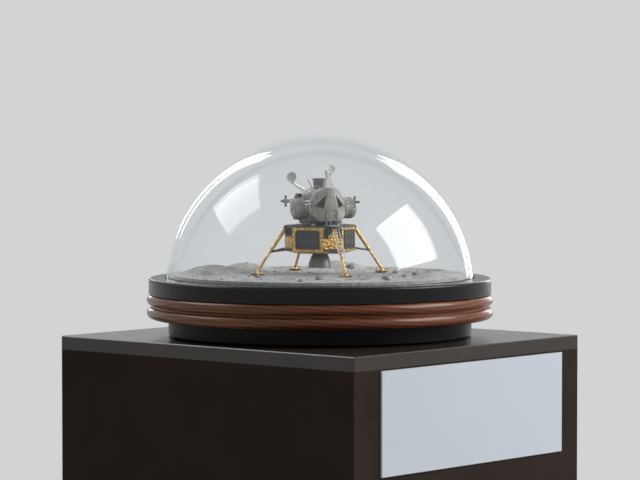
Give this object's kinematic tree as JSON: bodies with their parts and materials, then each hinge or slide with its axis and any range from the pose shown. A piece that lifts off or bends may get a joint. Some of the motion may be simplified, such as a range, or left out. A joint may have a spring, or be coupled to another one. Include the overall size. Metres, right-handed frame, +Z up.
{
  "type": "lunar lander display model",
  "caption": "Display model of a staged lunar lander on cratered ground under a lift-off clear dome, on a round wooden base and a tall black plinth.",
  "frame": {"origin": "on the floor, at the middle of the plinth's underside", "axes": "+Z up, -Y out of the plinth's face with the label, +X to that face's right"},
  "size_m": [0.457, 0.511, 1.026],
  "materials": {
    "plinth_black": "satin black laminate over board",
    "label_white": "satin white sheet, blank",
    "foot_black": "dark painted wood",
    "base_wood": "clear lacquered reddish hardwood",
    "top_black": "gloss black lacquer",
    "surface_grey": "matt painted cast resin, speckled",
    "clear_acrylic": "polished clear acrylic",
    "gold_foil": "crinkled amber foil",
    "black_panel": "matt black paint",
    "silver_panel": "satin silver grey paint",
    "olive_panel": "satin olive grey paint",
    "white_paint": "satin white paint",
    "dark_metal": "dark grey satin metal",
    "window_black": "gloss black",
    "bare_metal": "satin turned metal"
  },
  "bodies": {
    "stand": {"plinth_top": "plinth_black", "plinth_front": "plinth_black", "plinth_back": "plinth_black", "plinth_left": "plinth_black", "plinth_right": "plinth_black", "plinth_floor": "plinth_black", "label_plate": "label_white", "base_foot": "foot_black", "base_wood": "base_wood", "base_top": "top_black", "lunar_surface": "surface_grey", "descent_body": "gold_foil", "descent_deck": "black_panel", "heat_shield": "gold_foil", "bay_panels": "black_panel", "engine_bell": "dark_metal", "ladder": "bare_metal", "porch": "silver_panel", "stage_seats": "bare_metal", "front_strut": "gold_foil", "front_braces": "black_panel", "front_footpad": "gold_foil", "right_strut": "gold_foil", "right_braces": "black_panel", "right_footpad": "gold_foil", "rear_strut": "gold_foil", "rear_braces": "black_panel", "rear_footpad": "gold_foil", "left_strut": "gold_foil", "left_braces": "black_panel", "left_footpad": "gold_foil"},
    "dome": {"dome": "clear_acrylic"},
    "ascent_stage": {"stage_base": "black_panel", "ascent_bell": "dark_metal", "cabin": "silver_panel", "cabin_windows": "window_black", "forward_hatch": "olive_panel", "midsection": "silver_panel", "aft_bay": "black_panel", "right_tank": "silver_panel", "left_tank": "silver_panel", "docking_tunnel": "dark_metal", "docking_hatch": "olive_panel", "radar_fork": "white_paint", "dish_mast": "bare_metal", "aerials": "white_paint", "docking_target": "black_panel", "front_right_thrusters": "white_paint", "front_left_thrusters": "white_paint", "rear_right_thrusters": "white_paint", "rear_left_thrusters": "white_paint"},
    "radar_dish": {"radar_dish": "white_paint"},
    "steerable_dish": {"steerable_dish": "white_paint"}
  },
  "joints": [
    {"name": "dome_lift", "type": "slide", "parent": "stand", "child": "dome", "axis": [0, 0, 1], "range_m": [0, 0.17]},
    {"name": "ascent_lift", "type": "slide", "parent": "stand", "child": "ascent_stage", "axis": [0, 0, 1], "range_m": [0, 0.014]},
    {"name": "radar_tilt", "type": "hinge", "parent": "ascent_stage", "child": "radar_dish", "pos_m": [-0.01317, -0.02584, 0.9795], "axis": [-0.891, 0.454, 0], "range_deg": [-35, 60]},
    {"name": "dish_swivel", "type": "hinge", "parent": "ascent_stage", "child": "steerable_dish", "pos_m": [-0.04105, 0.01194, 0.967], "axis": [0, 0, 1], "range_deg": [-60, 60]}
  ]
}
